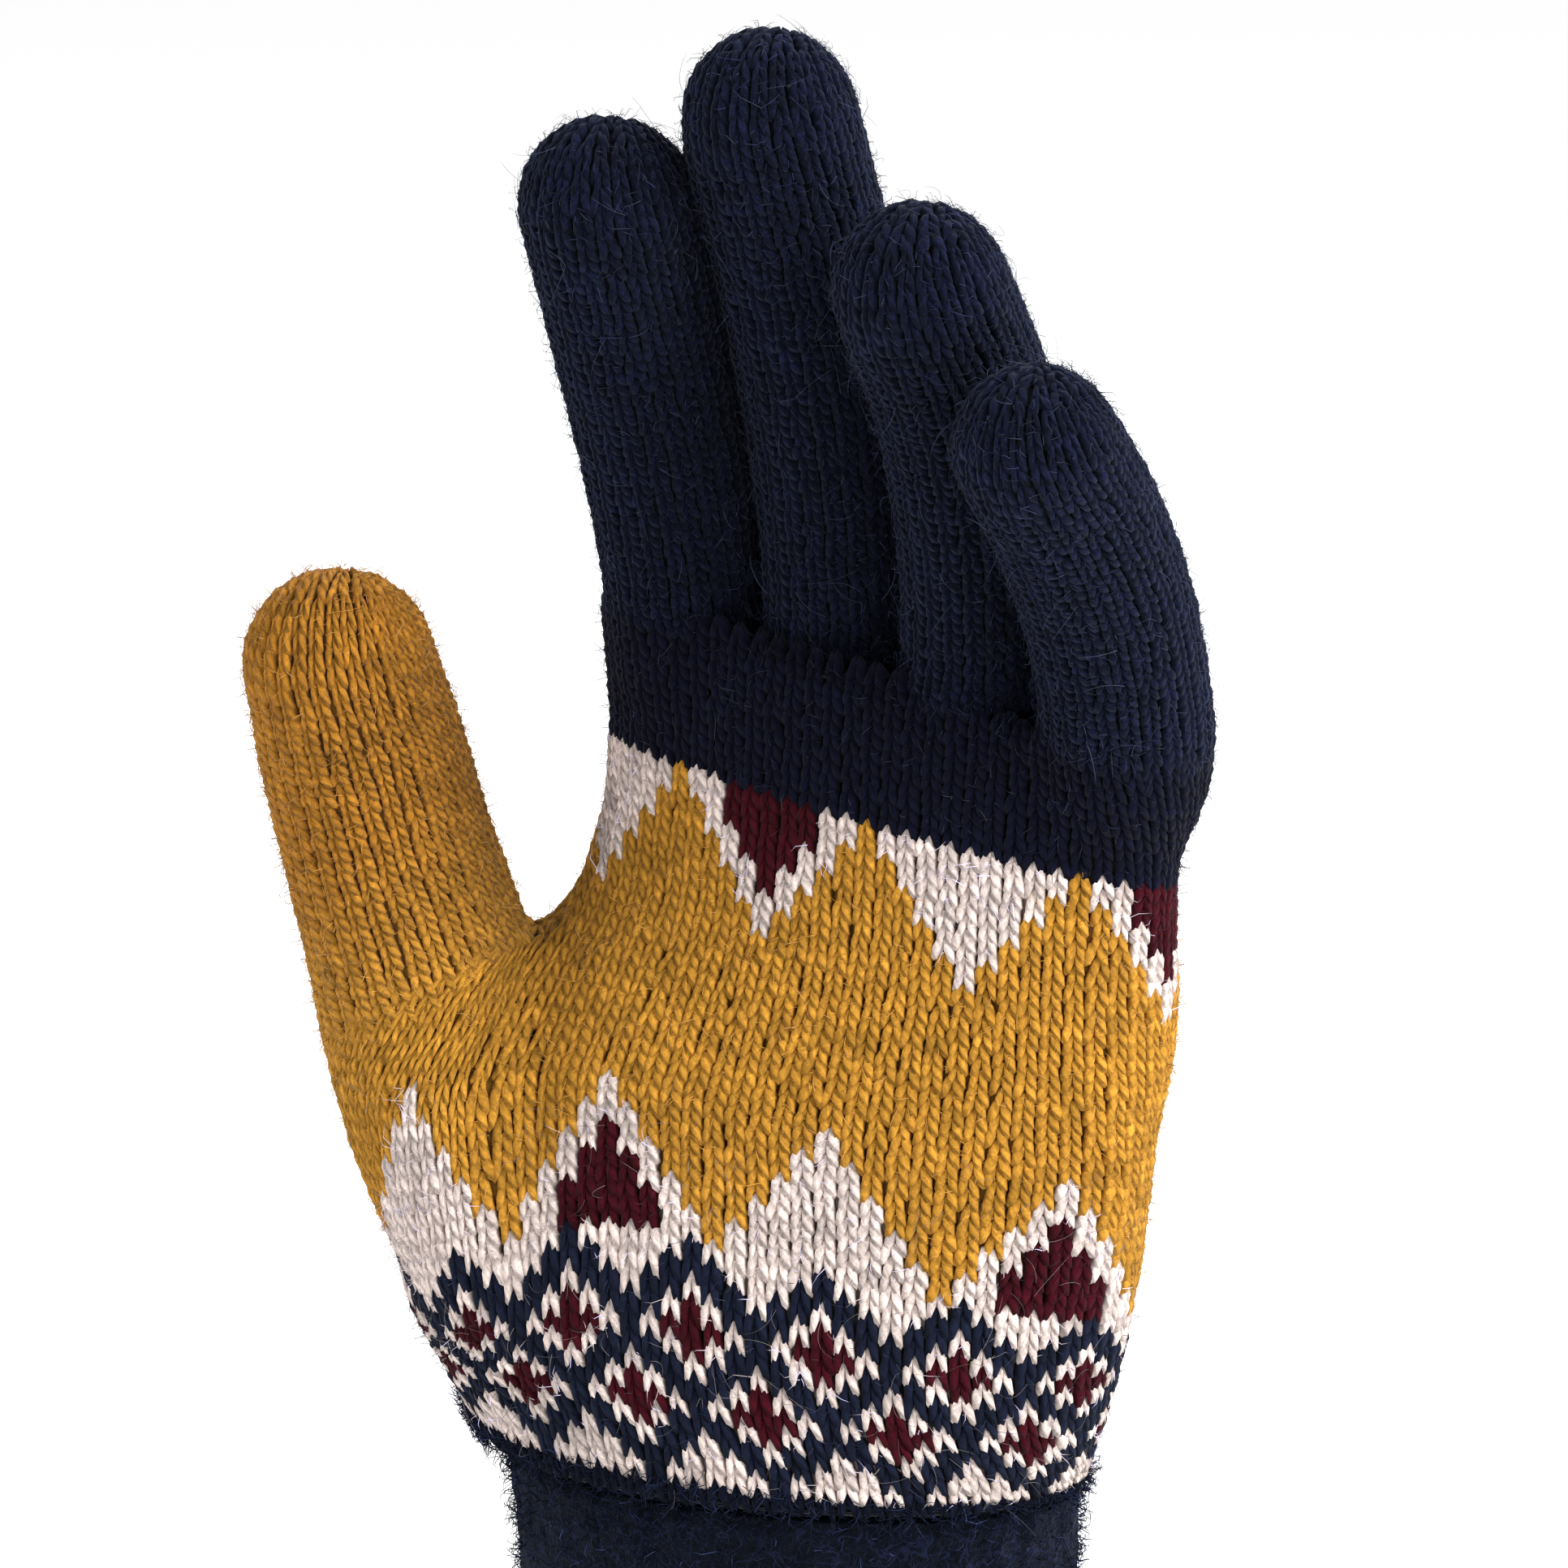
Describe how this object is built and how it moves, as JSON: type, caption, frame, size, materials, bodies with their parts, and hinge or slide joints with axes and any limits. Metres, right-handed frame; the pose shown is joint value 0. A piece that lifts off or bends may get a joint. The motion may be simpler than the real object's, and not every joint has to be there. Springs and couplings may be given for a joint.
{
  "type": "knitted five-finger glove",
  "caption": "Knitted wool glove for the left hand with a patterned palm, plain fingers and a brushed cuff, held in its worn shape.",
  "frame": {"origin": "the middle of the wrist opening, in the plane of the cuff's hem", "axes": "+Z along the forearm from the hem to the fingertips, -Y towards the side of the palm, +X towards the little finger"},
  "size_m": [0.1241, 0.0851, 0.2438],
  "materials": {
    "brushed_cuff_wool": "brushed, napped knit",
    "patterned_wool": "soft two-ply jacquard knit",
    "mustard_wool": "soft two-ply knit",
    "navy_wool": "soft two-ply knit"
  },
  "bodies": {
    "root": {"cuff": "brushed_cuff_wool", "hand": "patterned_wool", "thumb": "mustard_wool", "index_finger": "navy_wool", "middle_finger": "navy_wool", "ring_finger": "navy_wool", "little_finger": "navy_wool"}
  },
  "joints": []
}
